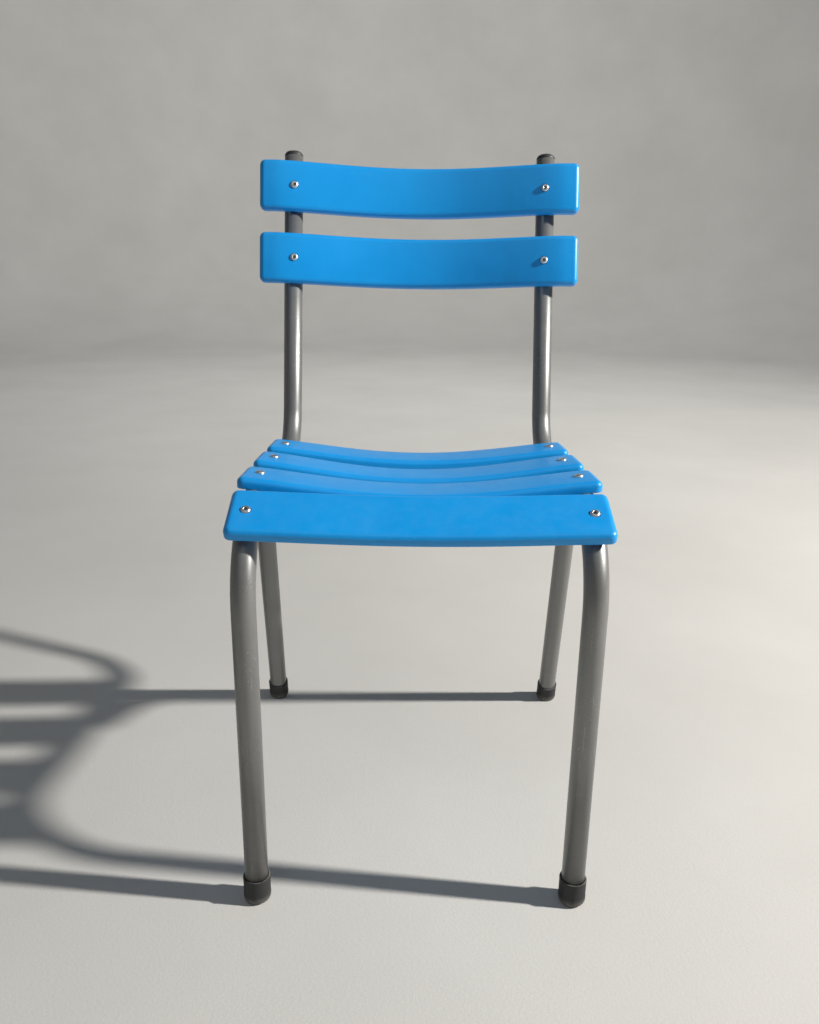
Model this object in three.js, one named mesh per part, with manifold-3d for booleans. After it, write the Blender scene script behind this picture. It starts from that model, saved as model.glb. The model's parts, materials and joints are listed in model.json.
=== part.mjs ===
// Stacking chair: two bent steel side frames, two welded-on rear legs, six moulded slats.
// Millimetres, +Z up, the chair faces -Y, and X = 0 is its middle plane.
import * as THREE from 'three';
import { mergeVertices } from 'three/addons/utils/BufferGeometryUtils.js';
import Module from 'manifold-3d';

const wasm = await Module();
wasm.setup();

// ---------------------------------------------------------------- driving dimensions

const GAP = 0.3; // between pieces that touch
const SIDES = 16; // flats round a tube

// steel tube
const TUBE_RADIUS = 12.7;
const TUBE_WALL = 1.6;
const FRAME_SPACING = 350; // between the middles of the two side frames
const BEND_STEP = THREE.MathUtils.degToRad(12);

// side frame, seen from the side (y to the rear, z up, front foot at y = 0)
const FRONT_RAKE = THREE.MathUtils.degToRad(0.3); // the front foot stands forward
const RAIL_SLOPE = THREE.MathUtils.degToRad(3.1); // the seat falls to the rear
const BACK_LEAN = THREE.MathUtils.degToRad(14.8);
const FRONT_CORNER_HEIGHT = 443.3; // where the lines of leg and rail meet
const RAIL_RUN = 385; // from the front corner to the rear corner, along y
const UPRIGHT_LENGTH = 405; // from the rear corner to the tube's top end
const FRONT_BEND_RADIUS = 93;
const REAR_BEND_RADIUS = 70;

// rear leg: foot, corner below the rail, and the point where it meets the rail
const REAR_FOOT = new THREE.Vector3(217, 446, 0);
const REAR_CORNER_HEIGHT = 417;
const REAR_LEG_RAKE = 0.347; // forward, for each unit up
const REAR_LEG_SPLAY = 0.027; // inward, for each unit up
const REAR_JOINT_Y = 232;
const REAR_JOINT_DROP = 10.5; // below the rail's middle
const REAR_LEG_BEND_RADIUS = 45;

// slats
const SLAT_WIDTH = 68;
const SLAT_DEPTH = 12;
const SLAT_WALL = 3.5;
const SLAT_TOP = 22; // web's top face above the tube's middle, at the screws
const SLAT_EDGE_RADIUS = 6.5;
const SLAT_CORNER_RADIUS = 8;
const SLAT_STEPS = 12;
const DISH_END = 200; // the slat is straight beyond this distance from its middle
const DISH_POWER = 1.6;
const SEAT_DISHES = [6, 18, 21, 17]; // depth at the middle, from the front
const BACK_DISH = 28;
const SEAT_SLAT_LENGTH = 386;
const BACK_SLAT_LENGTH = 438;
const FRONT_SLAT_PLACE = THREE.MathUtils.degToRad(57.5); // its screws' elevation on the bend
const FRONT_SLAT_ANGLE = THREE.MathUtils.degToRad(67); // its face's elevation
const FRONT_SLAT_SLIDE = -3; // its middle from its screws' place, up its width
const FIRST_RAIL_SLAT = 111.5; // from the front corner, along the rail
const SEAT_PITCH = 96.2;
const LOWER_BACK_SLAT = 262.6; // from the rear corner, along the upright
const BACK_PITCH = 97.8;
const RIB_THICKNESS = 2.5;
const RIB_DEPTH = 6;
const RIB_PLACES = [-90, 0, 90];
const BOSS_RADIUS = 7.5;

// M6 button-head screws and blind threaded inserts
const SCREW_SHANK_RADIUS = 3;
const SCREW_HEAD_RADIUS = 5.25;
const SCREW_HEAD_HEIGHT = 3;
const SCREW_END = 2; // above the tube's middle
const SOCKET_ACROSS_FLATS = 4;
const SOCKET_DEPTH = 2;
const SCREW_SEAT = 21; // flat under the head, above the tube's middle
const SCREW_SEAT_RADIUS = 5.8;
const INSERT_BODY_RADIUS = 4.5;
const INSERT_FLANGE_RADIUS = 5.2;
const INSERT_FLANGE = 0.6;
const INSERT_BULGE_RADIUS = 5.6;
const INSERT_BULGE_TOP = 9.2;
const INSERT_BULGE_BOTTOM = 7.8;
const INSERT_END = 1.5;

// rubber feet and top plugs
const FOOT_RADIUS = 15.8;
const FOOT_HEIGHT = 31;
const FOOT_EDGE_RADIUS = 8;
const FOOT_FLOOR = 8; // rubber under the tube's end
const FRONT_FOOT_SHIFT = -0.3; // rubber's end along the leg, from the floor, where it is cut flat
const REAR_FOOT_SHIFT = 1;
const PLUG_HEIGHT = 7.5;
const PLUG_STEM = 16;

const paint = { color: 0x7d8286, roughness: 0.42, metalness: 0.75 };
const blue = { color: 0x078fe2, roughness: 0.38, metalness: 0 };
const rubber = { color: 0x26282a, roughness: 0.8, metalness: 0 };
const stainless = { color: 0xc4c7c9, roughness: 0.25, metalness: 1 };
const zinc = { color: 0x9fa3a0, roughness: 0.4, metalness: 1 };

// ---------------------------------------------------------------- solids

function toSolid(geometry) {
  const bare = geometry.clone();
  bare.deleteAttribute('normal');
  bare.deleteAttribute('uv');
  const merged = mergeVertices(bare, 1e-4);
  const vertProperties = new Float32Array(merged.attributes.position.array);
  const triVerts = new Uint32Array(merged.index.array);
  return new wasm.Manifold(new wasm.Mesh({ numProp: 3, vertProperties, triVerts }));
}

function toGeometry(solid) {
  const mesh = solid.getMesh();
  const geometry = new THREE.BufferGeometry();
  geometry.setAttribute('position', new THREE.BufferAttribute(mesh.vertProperties, 3));
  geometry.setIndex(new THREE.BufferAttribute(mesh.triVerts, 1));
  const flat = geometry.toNonIndexed();
  flat.computeVertexNormals();
  return flat;
}

// radius of a many-sided cutter whose flats clear a round of the given radius
function clear(radius, sides = SIDES) {
  return (radius + GAP) / Math.cos(Math.PI / sides);
}

function polygon(radius, sides = SIDES) {
  const points = [];
  for (let i = 0; i < sides; i++) {
    const angle = (2 * Math.PI * (i + 0.5)) / sides;
    points.push(new THREE.Vector2(radius * Math.cos(angle), radius * Math.sin(angle)));
  }
  return points;
}

// a turned solid about +Z from points of (radius, height)
function turned(profile, segments = SIDES) {
  const geometry = new THREE.LatheGeometry(profile, segments);
  geometry.rotateX(Math.PI / 2);
  return geometry;
}

// an upright cylinder between two heights
function post(radius, bottom, top, segments = 12) {
  const geometry = new THREE.CylinderGeometry(radius, radius, top - bottom, segments);
  geometry.rotateX(Math.PI / 2);
  geometry.translate(0, 0, (top + bottom) / 2);
  return geometry;
}

// ---------------------------------------------------------------- bent tubes

// straight runs between corners, with an arc of the given radius at each inner corner
class BentPath extends THREE.Curve {
  constructor(corners, radii) {
    super();
    this.stations = [];
    const first = corners[1].clone().sub(corners[0]).normalize();
    this.stations.push({ point: corners[0].clone(), tangent: first });
    radii.forEach((radius, i) => this.addBend(corners[i], corners[i + 1], corners[i + 2], radius));
    const end = corners[corners.length - 1];
    const last = end.clone().sub(corners[corners.length - 2]).normalize();
    this.stations.push({ point: end.clone(), tangent: last });
  }

  addBend(before, corner, after, radius) {
    const inward = corner.clone().sub(before).normalize();
    const outward = after.clone().sub(corner).normalize();
    const turn = inward.angleTo(outward);
    const start = corner.clone().addScaledVector(inward, -radius * Math.tan(turn / 2));
    const axis = inward.clone().cross(outward).normalize();
    const centre = axis.clone().cross(inward).multiplyScalar(radius).add(start);
    const steps = Math.ceil(turn / BEND_STEP);
    for (let i = 0; i <= steps; i++) {
      const angle = (turn * i) / steps;
      const point = start.clone().sub(centre).applyAxisAngle(axis, angle).add(centre);
      this.stations.push({ point, tangent: inward.clone().applyAxisAngle(axis, angle) });
    }
  }

  get steps() {
    return this.stations.length - 1;
  }

  getPoint(t) {
    return this.stations[Math.round(t * this.steps)].point.clone();
  }

  getPointAt(t) {
    return this.getPoint(t);
  }

  getTangent(t) {
    return this.stations[Math.round(t * this.steps)].tangent.clone();
  }

  getTangentAt(t) {
    return this.getTangent(t);
  }
}

// a tube along a path, or a solid bar if it has no inner radius
function tube(path, radius, innerRadius) {
  const shape = new THREE.Shape(polygon(radius));
  if (innerRadius) {
    shape.holes.push(new THREE.Path(polygon(innerRadius)));
  }
  return new THREE.ExtrudeGeometry(shape, { steps: path.steps, extrudePath: path });
}

const railDirection = new THREE.Vector3(0, Math.cos(RAIL_SLOPE), -Math.sin(RAIL_SLOPE));
const uprightDirection = new THREE.Vector3(0, Math.sin(BACK_LEAN), Math.cos(BACK_LEAN));
const legDirection = new THREE.Vector3(0, Math.sin(FRONT_RAKE), Math.cos(FRONT_RAKE));

const frontFoot = new THREE.Vector3(0, 0, 0);
const frontCorner = new THREE.Vector3(
  0, FRONT_CORNER_HEIGHT * Math.tan(FRONT_RAKE), FRONT_CORNER_HEIGHT);
const rearCorner = frontCorner.clone().addScaledVector(railDirection, RAIL_RUN / railDirection.y);

// the side frame's middle line in the plane x = side * FRAME_SPACING / 2
function sideFramePath(side) {
  const tubeEnd = frontFoot.clone().addScaledVector(legDirection, FRONT_FOOT_SHIFT + FOOT_FLOOR + GAP);
  const top = rearCorner.clone().addScaledVector(uprightDirection, UPRIGHT_LENGTH);
  const corners = [tubeEnd, frontCorner.clone(), rearCorner.clone(), top];
  for (const corner of corners) {
    corner.x = (side * FRAME_SPACING) / 2;
  }
  return new BentPath(corners, [FRONT_BEND_RADIUS, REAR_BEND_RADIUS]);
}

function rearLegDirection(side) {
  return new THREE.Vector3(-side * REAR_LEG_SPLAY, -REAR_LEG_RAKE, 1).normalize();
}

function rearFootPoint(side) {
  return new THREE.Vector3(side * REAR_FOOT.x, REAR_FOOT.y, 0);
}

function rearLegPath(side) {
  const direction = rearLegDirection(side);
  const foot = rearFootPoint(side);
  const corner = foot.clone().addScaledVector(direction, REAR_CORNER_HEIGHT / direction.z);
  const railDistance = (REAR_JOINT_Y - frontCorner.y) / railDirection.y;
  const joint = frontCorner.clone().addScaledVector(railDirection, railDistance);
  joint.x = (side * FRAME_SPACING) / 2;
  joint.z -= REAR_JOINT_DROP;
  const tubeEnd = foot.addScaledVector(direction, REAR_FOOT_SHIFT + FOOT_FLOOR + GAP);
  return new BentPath([tubeEnd, corner, joint], [REAR_LEG_BEND_RADIUS]);
}

// ---------------------------------------------------------------- slat places

// a place on a tube's middle line: x across the chair, z out of the slat's face
function framePlace(point, faceElevation) {
  const place = new THREE.Object3D();
  place.position.copy(point);
  place.rotation.x = Math.PI / 2 - faceElevation;
  place.updateMatrixWorld();
  return place;
}

function frontSlatPlace() {
  const turn = Math.PI / 2 + RAIL_SLOPE - FRONT_RAKE;
  const tangentLength = FRONT_BEND_RADIUS * Math.tan(turn / 2);
  const start = frontCorner.clone().addScaledVector(legDirection, -tangentLength);
  const toCentre = new THREE.Vector3(0, legDirection.z, -legDirection.y);
  const centre = start.addScaledVector(toCentre, FRONT_BEND_RADIUS);
  const outward = new THREE.Vector3(
    0, -Math.cos(FRONT_SLAT_PLACE), Math.sin(FRONT_SLAT_PLACE));
  return framePlace(centre.addScaledVector(outward, FRONT_BEND_RADIUS), FRONT_SLAT_ANGLE);
}

function railPlace(distance) {
  const point = frontCorner.clone().addScaledVector(railDirection, distance);
  return framePlace(point, Math.PI / 2 + RAIL_SLOPE);
}

function uprightPlace(distance) {
  const point = rearCorner.clone().addScaledVector(uprightDirection, distance);
  return framePlace(point, BACK_LEAN);
}

// tilt: from the slat's face normal forward to the screws, slide: the slat's middle up its width
const slats = [
  {
    name: 'seat_slat_1', length: SEAT_SLAT_LENGTH, dish: SEAT_DISHES[0], place: frontSlatPlace(),
    tilt: FRONT_SLAT_ANGLE - FRONT_SLAT_PLACE, slide: FRONT_SLAT_SLIDE,
  },
];
for (let i = 0; i < 3; i++) {
  const place = railPlace(FIRST_RAIL_SLAT + i * SEAT_PITCH);
  const name = `seat_slat_${i + 2}`;
  slats.push({ name, length: SEAT_SLAT_LENGTH, dish: SEAT_DISHES[i + 1], place, tilt: 0, slide: 0 });
}
for (const [i, name] of ['back_slat_lower', 'back_slat_upper'].entries()) {
  const place = uprightPlace(LOWER_BACK_SLAT + i * BACK_PITCH);
  slats.push({ name, length: BACK_SLAT_LENGTH, dish: BACK_DISH, place, tilt: 0, slide: 0 });
}

// ---------------------------------------------------------------- slats

// how far the slat's face lies below its level at the screws
function dishDepth(x, dish) {
  const at = (place) => {
    const inside = Math.max(0, 1 - (place / DISH_END) ** 2);
    return dish * inside ** DISH_POWER;
  };
  return at(x) - at(FRAME_SPACING / 2);
}

// the screws lean inward by the slope of the slat's face where they go through it
function screwLean(dish) {
  const place = FRAME_SPACING / 2;
  const inside = 1 - (place / DISH_END) ** 2;
  const slope = (2 * DISH_POWER * dish * place * inside ** (DISH_POWER - 1)) / DISH_END ** 2;
  return Math.atan(slope);
}

// moves a solid from the middle onto one tube and turns it square to that tube and the slat
function ontoTube(geometry, side, { dish, tilt }) {
  geometry.rotateY(-side * screwLean(dish)).rotateX(tilt);
  return geometry.translate((side * FRAME_SPACING) / 2, 0, 0);
}

// a bar of the given (y, z) section along x, dished by its height at each x
function dishedBar(section, length, dish) {
  const steps = SLAT_STEPS;
  const shape = new THREE.Shape(section);
  const geometry = new THREE.ExtrudeGeometry(shape, { depth: length, steps, bevelEnabled: false });
  const swap = new THREE.Matrix4().makeBasis(
    new THREE.Vector3(0, 1, 0), new THREE.Vector3(0, 0, 1), new THREE.Vector3(1, 0, 0));
  geometry.applyMatrix4(swap);
  geometry.translate(-length / 2, 0, 0);
  const position = geometry.attributes.position;
  for (let i = 0; i < position.count; i++) {
    position.setZ(i, position.getZ(i) - dishDepth(position.getX(i), dish));
  }
  return geometry;
}

function slatSection() {
  const half = SLAT_WIDTH / 2;
  const r = SLAT_EDGE_RADIUS;
  const bottom = SLAT_TOP - SLAT_DEPTH;
  const points = [new THREE.Vector2(-half, bottom), new THREE.Vector2(half, bottom)];
  for (let i = 0; i <= 6; i++) {
    const angle = (Math.PI * i) / 6;
    const cornerY = i <= 3 ? half - r : r - half;
    points.push(new THREE.Vector2(cornerY + r * Math.cos(angle), SLAT_TOP - r + r * Math.sin(angle)));
    if (i === 3) {
      points.push(new THREE.Vector2(r - half, SLAT_TOP));
    }
  }
  return points;
}

function rectangle(halfWidth, bottom, top) {
  return [
    new THREE.Vector2(-halfWidth, bottom), new THREE.Vector2(halfWidth, bottom),
    new THREE.Vector2(halfWidth, top), new THREE.Vector2(-halfWidth, top),
  ];
}

// the slat's outline seen from above, with round corners
function slatOutline(length) {
  const x = length / 2 - SLAT_CORNER_RADIUS;
  const y = SLAT_WIDTH / 2 - SLAT_CORNER_RADIUS;
  const shape = new THREE.Shape();
  shape.absarc(x, y, SLAT_CORNER_RADIUS, 0, Math.PI / 2);
  shape.absarc(-x, y, SLAT_CORNER_RADIUS, Math.PI / 2, Math.PI);
  shape.absarc(-x, -y, SLAT_CORNER_RADIUS, Math.PI, 1.5 * Math.PI);
  shape.absarc(x, -y, SLAT_CORNER_RADIUS, 1.5 * Math.PI, 2 * Math.PI);
  const depth = 120;
  const options = { depth, curveSegments: 3, bevelEnabled: false };
  return new THREE.ExtrudeGeometry(shape, options).translate(0, 0, -depth / 2);
}

function slatGeometry(slat) {
  const { length, dish, place, slide } = slat;
  const bottom = SLAT_TOP - SLAT_DEPTH;
  const inside = rectangle(SLAT_WIDTH / 2 - SLAT_WALL, bottom - 5, SLAT_TOP - SLAT_WALL);
  const cavity = dishedBar(inside, length - 2 * SLAT_WALL, dish);
  let body = toSolid(dishedBar(slatSection(), length, dish));
  body = body.intersect(toSolid(slatOutline(length)));
  body = body.subtract(toSolid(cavity));

  // ribs across the underside, from wall to wall
  for (const x of RIB_PLACES) {
    const top = SLAT_TOP - SLAT_WALL / 2 - dishDepth(x, dish);
    const rib = new THREE.BoxGeometry(RIB_THICKNESS, SLAT_WIDTH - SLAT_WALL, RIB_DEPTH);
    body = body.add(toSolid(rib.translate(x, 0, top - RIB_DEPTH / 2)));
  }
  body = body.translate([0, slide, 0]);

  // screw bosses that stand on the tubes, and flat seats for the screw heads
  const insertTop = TUBE_RADIUS + GAP + INSERT_FLANGE + GAP;
  for (const side of [-1, 1]) {
    const boss = post(BOSS_RADIUS, bottom, SLAT_TOP - SLAT_WALL / 2);
    body = body.add(toSolid(ontoTube(boss, side, slat)));
    const cutters = [
      post(SCREW_SEAT_RADIUS, SCREW_SEAT, SLAT_TOP + 5),
      post(clear(SCREW_SHANK_RADIUS, 12), 0, SLAT_TOP + 5),
      post(clear(INSERT_FLANGE_RADIUS, 12), 0, insertTop),
    ];
    for (const cutter of cutters) {
      body = body.subtract(toSolid(ontoTube(cutter, side, slat)));
    }
  }

  // saddles over the two tubes
  const toSlat = place.matrixWorld.clone().invert();
  for (const side of [-1, 1]) {
    const bar = tube(sideFramePath(side), clear(TUBE_RADIUS));
    body = body.subtract(toSolid(bar.applyMatrix4(toSlat)));
  }
  return toGeometry(body);
}

// ---------------------------------------------------------------- frame parts

function sideFrameGeometry(side) {
  let frame = toSolid(tube(sideFramePath(side), TUBE_RADIUS, TUBE_RADIUS - TUBE_WALL));
  for (const slat of slats) {
    const hole = ontoTube(post(clear(INSERT_BODY_RADIUS, 12), 6, TUBE_RADIUS + 5), side, slat);
    frame = frame.subtract(toSolid(hole.applyMatrix4(slat.place.matrixWorld)));
  }
  return toGeometry(frame);
}

// the leg's upper end is coped round the rail, where it is welded on
function rearLegGeometry(side) {
  const leg = toSolid(tube(rearLegPath(side), TUBE_RADIUS, TUBE_RADIUS - TUBE_WALL));
  const rail = toSolid(tube(sideFramePath(side), clear(TUBE_RADIUS)));
  const pieces = leg.subtract(rail).decompose();
  pieces.sort((a, b) => b.volume() - a.volume());
  return toGeometry(pieces[0]);
}

// ---------------------------------------------------------------- small parts

// rubber ferrule along a leg's end, cut off flat at the floor
function footGeometry(direction, point, shift) {
  const bore = clear(TUBE_RADIUS);
  const profile = [new THREE.Vector2(0, 0)];
  for (let i = 0; i <= 3; i++) {
    const angle = (Math.PI / 2) * (i / 3);
    profile.push(new THREE.Vector2(
      FOOT_RADIUS - FOOT_EDGE_RADIUS + FOOT_EDGE_RADIUS * Math.sin(angle),
      FOOT_EDGE_RADIUS - FOOT_EDGE_RADIUS * Math.cos(angle)));
  }
  profile.push(new THREE.Vector2(FOOT_RADIUS, FOOT_HEIGHT - 1));
  profile.push(new THREE.Vector2(FOOT_RADIUS - 1, FOOT_HEIGHT));
  profile.push(new THREE.Vector2(bore, FOOT_HEIGHT));
  profile.push(new THREE.Vector2(bore, FOOT_FLOOR));
  profile.push(new THREE.Vector2(0, FOOT_FLOOR));
  const ferrule = turned(profile).translate(0, 0, shift);
  const up = new THREE.Vector3(0, 0, 1);
  const turn = new THREE.Quaternion().setFromUnitVectors(up, direction);
  ferrule.applyQuaternion(turn).translate(point.x, point.y, point.z);
  const depth = 20;
  const floor = new THREE.BoxGeometry(80, 80, depth).translate(point.x, point.y, -depth / 2);
  return toGeometry(toSolid(ferrule).subtract(toSolid(floor)));
}

// domed plug with a stem pressed into the tube's top end
function plugGeometry() {
  const stem = TUBE_RADIUS - TUBE_WALL - 2 * GAP;
  const edge = 5;
  const profile = [
    new THREE.Vector2(0, -PLUG_STEM), new THREE.Vector2(stem - 1, -PLUG_STEM),
    new THREE.Vector2(stem, 1 - PLUG_STEM), new THREE.Vector2(stem, GAP),
    new THREE.Vector2(TUBE_RADIUS, GAP),
  ];
  for (let i = 0; i <= 3; i++) {
    const angle = (Math.PI / 2) * (i / 3);
    profile.push(new THREE.Vector2(
      TUBE_RADIUS - edge + edge * Math.cos(angle), PLUG_HEIGHT - edge + edge * Math.sin(angle)));
  }
  profile.push(new THREE.Vector2(0, PLUG_HEIGHT));
  return turned(profile);
}

// button-head screw with a hexagon socket
function screwGeometry() {
  const bottom = SCREW_SEAT + GAP;
  const profile = [
    new THREE.Vector2(0, SCREW_END), new THREE.Vector2(SCREW_SHANK_RADIUS - 0.6, SCREW_END),
    new THREE.Vector2(SCREW_SHANK_RADIUS, SCREW_END + 0.6),
    new THREE.Vector2(SCREW_SHANK_RADIUS, bottom),
    new THREE.Vector2(SCREW_HEAD_RADIUS, bottom), new THREE.Vector2(SCREW_HEAD_RADIUS, bottom + 0.5),
  ];
  for (let i = 1; i <= 2; i++) {
    const angle = (Math.PI / 2) * (i / 2);
    profile.push(new THREE.Vector2(
      2.4 + (SCREW_HEAD_RADIUS - 2.4) * Math.cos(angle),
      bottom + 0.5 + (SCREW_HEAD_HEIGHT - 0.5) * Math.sin(angle)));
  }
  profile.push(new THREE.Vector2(0, bottom + SCREW_HEAD_HEIGHT));
  const top = bottom + SCREW_HEAD_HEIGHT;
  const socket = post(SOCKET_ACROSS_FLATS / Math.sqrt(3), top - SOCKET_DEPTH, top + 2, 6);
  return toGeometry(toSolid(turned(profile, 10)).subtract(toSolid(socket)));
}

// blind threaded insert: flange on the tube, body in the hole, bulge behind the wall
function insertGeometry() {
  const bore = clear(SCREW_SHANK_RADIUS, 8);
  const flangeBottom = TUBE_RADIUS + GAP;
  const profile = [
    new THREE.Vector2(bore, INSERT_END), new THREE.Vector2(INSERT_BODY_RADIUS - 0.3, INSERT_END),
    new THREE.Vector2(INSERT_BODY_RADIUS - 0.3, INSERT_BULGE_BOTTOM),
    new THREE.Vector2(INSERT_BULGE_RADIUS, INSERT_BULGE_BOTTOM),
    new THREE.Vector2(INSERT_BULGE_RADIUS, INSERT_BULGE_TOP),
    new THREE.Vector2(INSERT_BODY_RADIUS, INSERT_BULGE_TOP),
    new THREE.Vector2(INSERT_BODY_RADIUS, flangeBottom),
    new THREE.Vector2(INSERT_FLANGE_RADIUS, flangeBottom),
    new THREE.Vector2(INSERT_FLANGE_RADIUS, flangeBottom + INSERT_FLANGE),
    new THREE.Vector2(bore, flangeBottom + INSERT_FLANGE),
    new THREE.Vector2(bore, INSERT_END),
  ];
  return turned(profile, 8);
}

// ---------------------------------------------------------------- assembly

const chair = new THREE.Group();

function addPiece(name, geometry, look, parent = chair) {
  const piece = new THREE.Mesh(geometry, new THREE.MeshStandardMaterial(look));
  piece.name = name;
  parent.add(piece);
  return piece;
}

const sides = { left: -1, right: 1 };

for (const [label, side] of Object.entries(sides)) {
  const frameX = (side * FRAME_SPACING) / 2;
  addPiece(`side_frame_${label}`, sideFrameGeometry(side), paint);
  addPiece(`rear_leg_${label}`, rearLegGeometry(side), paint);

  const frontPoint = new THREE.Vector3(frameX, 0, 0);
  const frontFerrule = footGeometry(legDirection, frontPoint, FRONT_FOOT_SHIFT);
  addPiece(`foot_front_${label}`, frontFerrule, rubber);
  const rearFerrule = footGeometry(rearLegDirection(side), rearFootPoint(side), REAR_FOOT_SHIFT);
  addPiece(`foot_rear_${label}`, rearFerrule, rubber);

  const plug = addPiece(`top_plug_${label}`, plugGeometry(), rubber);
  const top = rearCorner.clone().addScaledVector(uprightDirection, UPRIGHT_LENGTH);
  plug.position.set(frameX, top.y, top.z);
  plug.rotation.x = -BACK_LEAN;
}

for (const slat of slats) {
  const group = new THREE.Group();
  group.position.copy(slat.place.position);
  group.rotation.copy(slat.place.rotation);
  chair.add(group);
  addPiece(slat.name, slatGeometry(slat), blue, group);
  for (const [label, side] of Object.entries(sides)) {
    const screw = addPiece(`screw_${slat.name}_${label}`, screwGeometry(), stainless, group);
    const insert = addPiece(`insert_${slat.name}_${label}`, insertGeometry(), zinc, group);
    for (const fastener of [screw, insert]) {
      fastener.position.x = (side * FRAME_SPACING) / 2;
      fastener.rotation.set(slat.tilt, -side * screwLean(slat.dish), 0);
    }
  }
}

// stand the chair with the origin on the floor under the middle of its outline
chair.updateMatrixWorld(true);
const box = new THREE.Box3().setFromObject(chair, true);
chair.position.y = -(box.min.y + box.max.y) / 2;

export default chair;
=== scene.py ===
import json
import math

import bmesh
import bpy
from mathutils import Matrix, Quaternion, Vector

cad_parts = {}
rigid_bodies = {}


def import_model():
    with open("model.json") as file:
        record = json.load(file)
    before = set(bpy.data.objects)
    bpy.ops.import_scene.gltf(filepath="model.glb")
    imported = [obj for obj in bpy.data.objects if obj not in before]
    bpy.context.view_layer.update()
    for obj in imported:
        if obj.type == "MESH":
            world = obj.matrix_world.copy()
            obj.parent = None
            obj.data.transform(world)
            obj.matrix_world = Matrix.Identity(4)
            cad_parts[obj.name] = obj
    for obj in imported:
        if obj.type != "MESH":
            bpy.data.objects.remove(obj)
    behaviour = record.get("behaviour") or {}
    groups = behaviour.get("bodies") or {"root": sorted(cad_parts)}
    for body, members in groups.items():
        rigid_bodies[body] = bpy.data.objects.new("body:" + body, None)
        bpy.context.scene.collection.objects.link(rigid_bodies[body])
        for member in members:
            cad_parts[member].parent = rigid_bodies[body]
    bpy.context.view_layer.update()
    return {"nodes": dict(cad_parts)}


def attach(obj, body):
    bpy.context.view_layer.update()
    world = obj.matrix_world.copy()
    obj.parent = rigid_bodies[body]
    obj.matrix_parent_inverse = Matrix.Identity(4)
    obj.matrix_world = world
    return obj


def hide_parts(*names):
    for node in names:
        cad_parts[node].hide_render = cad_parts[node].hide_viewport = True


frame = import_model()


# ---------------------------------------------------------------- floor, light and camera
# The chair stands on a plain pale floor of cast plaster that sweeps up into a plain wall
# all round. One soft lamp stands high to its right, with weaker light from above and behind.

def say(tree, kind, **settings):
    """A shader node with its sockets set by name or, as i0, i1 and so on, by number.

    A socket takes another node's socket or a plain value. A name that starts with _ is a setting.
    """
    node = tree.nodes.new("ShaderNode" + kind)
    for name, value in settings.items():
        if name.startswith("_"):
            setattr(node, name[1:], value)
            continue
        numbered = name[0] == "i" and name[1:].isdigit()
        socket = node.inputs[int(name[1:]) if numbered else name.replace("_", " ")]
        if isinstance(value, bpy.types.NodeSocket):
            tree.links.new(value, socket)
        else:
            socket.default_value = value
    return node


def finish_named(name, slot_colour):
    """A new material, with its tree and its Principled shader."""
    material = bpy.data.materials.new(name)
    material.use_nodes = True
    material.diffuse_color = (*slot_colour, 1)
    tree = material.node_tree
    tree.nodes.clear()
    shader = say(tree, "BsdfPrincipled")
    output = say(tree, "OutputMaterial")
    tree.links.new(shader.outputs["BSDF"], output.inputs["Surface"])
    return material, tree, shader


def own_place(tree):
    """Where a point lies on the piece itself."""
    return say(tree, "TexCoord").outputs["Object"]


plaster, tree, shader = finish_named("pale_plaster", (0.62, 0.61, 0.59))
place = own_place(tree)
cloud = say(tree, "TexNoise", Vector=place, Scale=1.7, Detail=5.0, Roughness=0.6)
tone = say(tree, "MapRange", Value=cloud.outputs["Fac"], i1=0.3, i2=0.7, i3=0.0, i4=1.0)
mix = say(tree, "Mix", _data_type="RGBA", Factor=tone.outputs["Result"])
mix.inputs["A"].default_value = (0.545, 0.535, 0.51, 1)
mix.inputs["B"].default_value = (0.60, 0.59, 0.565, 1)
tree.links.new(mix.outputs["Result"], shader.inputs["Base Color"])
grit = say(tree, "TexNoise", Vector=place, Scale=260.0, Detail=4.0, Roughness=0.7)
bump = say(tree, "Bump", Height=grit.outputs["Fac"], Strength=0.5, Distance=0.0006)
tree.links.new(bump.outputs["Normal"], shader.inputs["Normal"])
shader.inputs["Roughness"].default_value = 0.9

FLOOR_REACH = 5.5
SWEEP_RADIUS = 2.0
SWEEP_STEPS = 12
WALL_TOP = 4.0
WALL_SIDES = 96
bm = bmesh.new()
centre = bm.verts.new((0, 0, 0))
rim = bm.verts.new((FLOOR_REACH, 0, 0))
sweep_start = bm.edges.new((centre, rim))
curl = bmesh.ops.spin(
    bm, geom=[rim], cent=(FLOOR_REACH, 0, SWEEP_RADIUS), axis=(0, -1, 0), angle=math.pi / 2,
    steps=SWEEP_STEPS)
last = [v for v in curl["geom_last"] if isinstance(v, bmesh.types.BMVert)]
risen = bmesh.ops.extrude_vert_indiv(bm, verts=last)
bmesh.ops.translate(bm, verts=risen["verts"], vec=(0, 0, WALL_TOP - SWEEP_RADIUS))
bmesh.ops.spin(
    bm, geom=bm.verts[:] + bm.edges[:], cent=(0, 0, 0), axis=(0, 0, 1), angle=2 * math.pi,
    steps=WALL_SIDES, use_merge=True)
bmesh.ops.remove_doubles(bm, verts=bm.verts, dist=1e-4)
bmesh.ops.recalc_face_normals(bm, faces=bm.faces)
upward = sum(f.normal.z * f.calc_area() for f in bm.faces)
if upward < 0:
    bmesh.ops.reverse_faces(bm, faces=bm.faces)
floor_mesh = bpy.data.meshes.new("studio_floor")
bm.to_mesh(floor_mesh)
bm.free()
floor_mesh.shade_smooth()
floor_mesh.materials.append(plaster)
floor = bpy.data.objects.new("studio_floor", floor_mesh)
bpy.context.scene.collection.objects.link(floor)


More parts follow.
